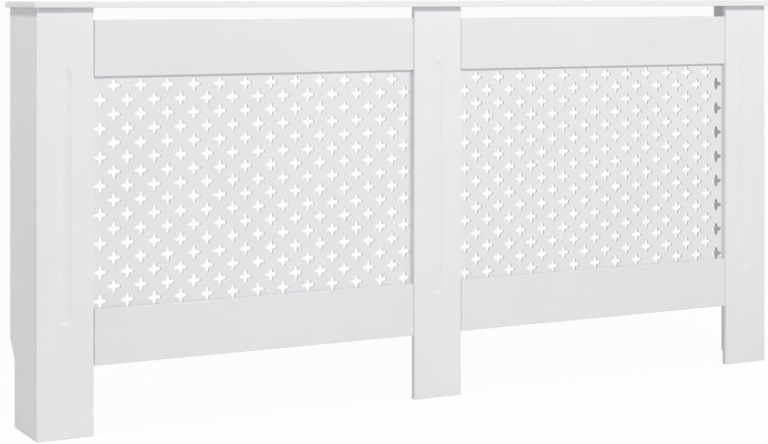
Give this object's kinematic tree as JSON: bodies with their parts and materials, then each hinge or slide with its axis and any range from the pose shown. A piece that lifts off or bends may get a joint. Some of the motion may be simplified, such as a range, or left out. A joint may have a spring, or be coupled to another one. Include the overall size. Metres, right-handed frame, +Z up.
{
  "type": "radiator cover cabinet",
  "caption": "Long white painted radiator cover cabinet: shelf top, fluted posts, rails and two cross-pierced grille panels between side panels cut out for the skirting board.",
  "frame": {"origin": "on the floor, under the middle of the cabinet's length and depth", "axes": "+X along the front to the viewer's right, +Y from the front towards the wall, +Z up"},
  "size_m": [1.72, 0.19, 0.815],
  "materials": {
    "painted_board": "satin white paint on MDF board",
    "painted_shelf": "satin white paint on MDF shelf, arrises eased",
    "painted_sheet": "satin white paint on pierced hardboard sheet",
    "bare_timber": "planed softwood, unpainted",
    "beech_dowel": "fluted beech",
    "zinc_screw": "bright zinc plate",
    "zinc_bracket": "bright zinc plate on bent strip"
  },
  "bodies": {
    "root": {"batten_screw_left_1": "zinc_screw", "batten_screw_left_2": "zinc_screw", "batten_screw_left_3": "zinc_screw", "batten_screw_right_1": "zinc_screw", "batten_screw_right_2": "zinc_screw", "batten_screw_right_3": "zinc_screw", "block_screw_1": "zinc_screw", "block_screw_2": "zinc_screw", "bottom_rail_left": "painted_board", "bottom_rail_right": "painted_board", "bracket_screw_left_1": "zinc_screw", "bracket_screw_left_2": "zinc_screw", "bracket_screw_right_1": "zinc_screw", "bracket_screw_right_2": "zinc_screw", "centre_batten": "bare_timber", "cleat_screw_left_1": "zinc_screw", "cleat_screw_left_2": "zinc_screw", "cleat_screw_right_1": "zinc_screw", "cleat_screw_right_2": "zinc_screw", "corner_batten_left": "bare_timber", "corner_batten_right": "bare_timber", "dowel_bottom_rail_left_left_end_lower": "beech_dowel", "dowel_bottom_rail_left_left_end_upper": "beech_dowel", "dowel_bottom_rail_left_right_end_lower": "beech_dowel", "dowel_bottom_rail_left_right_end_upper": "beech_dowel", "dowel_bottom_rail_right_left_end_lower": "beech_dowel", "dowel_bottom_rail_right_left_end_upper": "beech_dowel", "dowel_bottom_rail_right_right_end_lower": "beech_dowel", "dowel_bottom_rail_right_right_end_upper": "beech_dowel", "dowel_top_rail_left_left_end_lower": "beech_dowel", "dowel_top_rail_left_left_end_upper": "beech_dowel", "dowel_top_rail_left_right_end_lower": "beech_dowel", "dowel_top_rail_left_right_end_upper": "beech_dowel", "dowel_top_rail_right_left_end_lower": "beech_dowel", "dowel_top_rail_right_left_end_upper": "beech_dowel", "dowel_top_rail_right_right_end_lower": "beech_dowel", "dowel_top_rail_right_right_end_upper": "beech_dowel", "grille_left": "painted_sheet", "grille_right": "painted_sheet", "post_centre": "painted_board", "post_left": "painted_board", "post_right": "painted_board", "shelf_block_centre": "bare_timber", "shelf_cleat_left": "bare_timber", "shelf_cleat_right": "bare_timber", "side_panel_left": "painted_board", "side_panel_right": "painted_board", "top_rail_left": "painted_board", "top_rail_right": "painted_board", "top_shelf": "painted_shelf", "wall_bracket_left": "zinc_bracket", "wall_bracket_right": "zinc_bracket"}
  },
  "joints": []
}
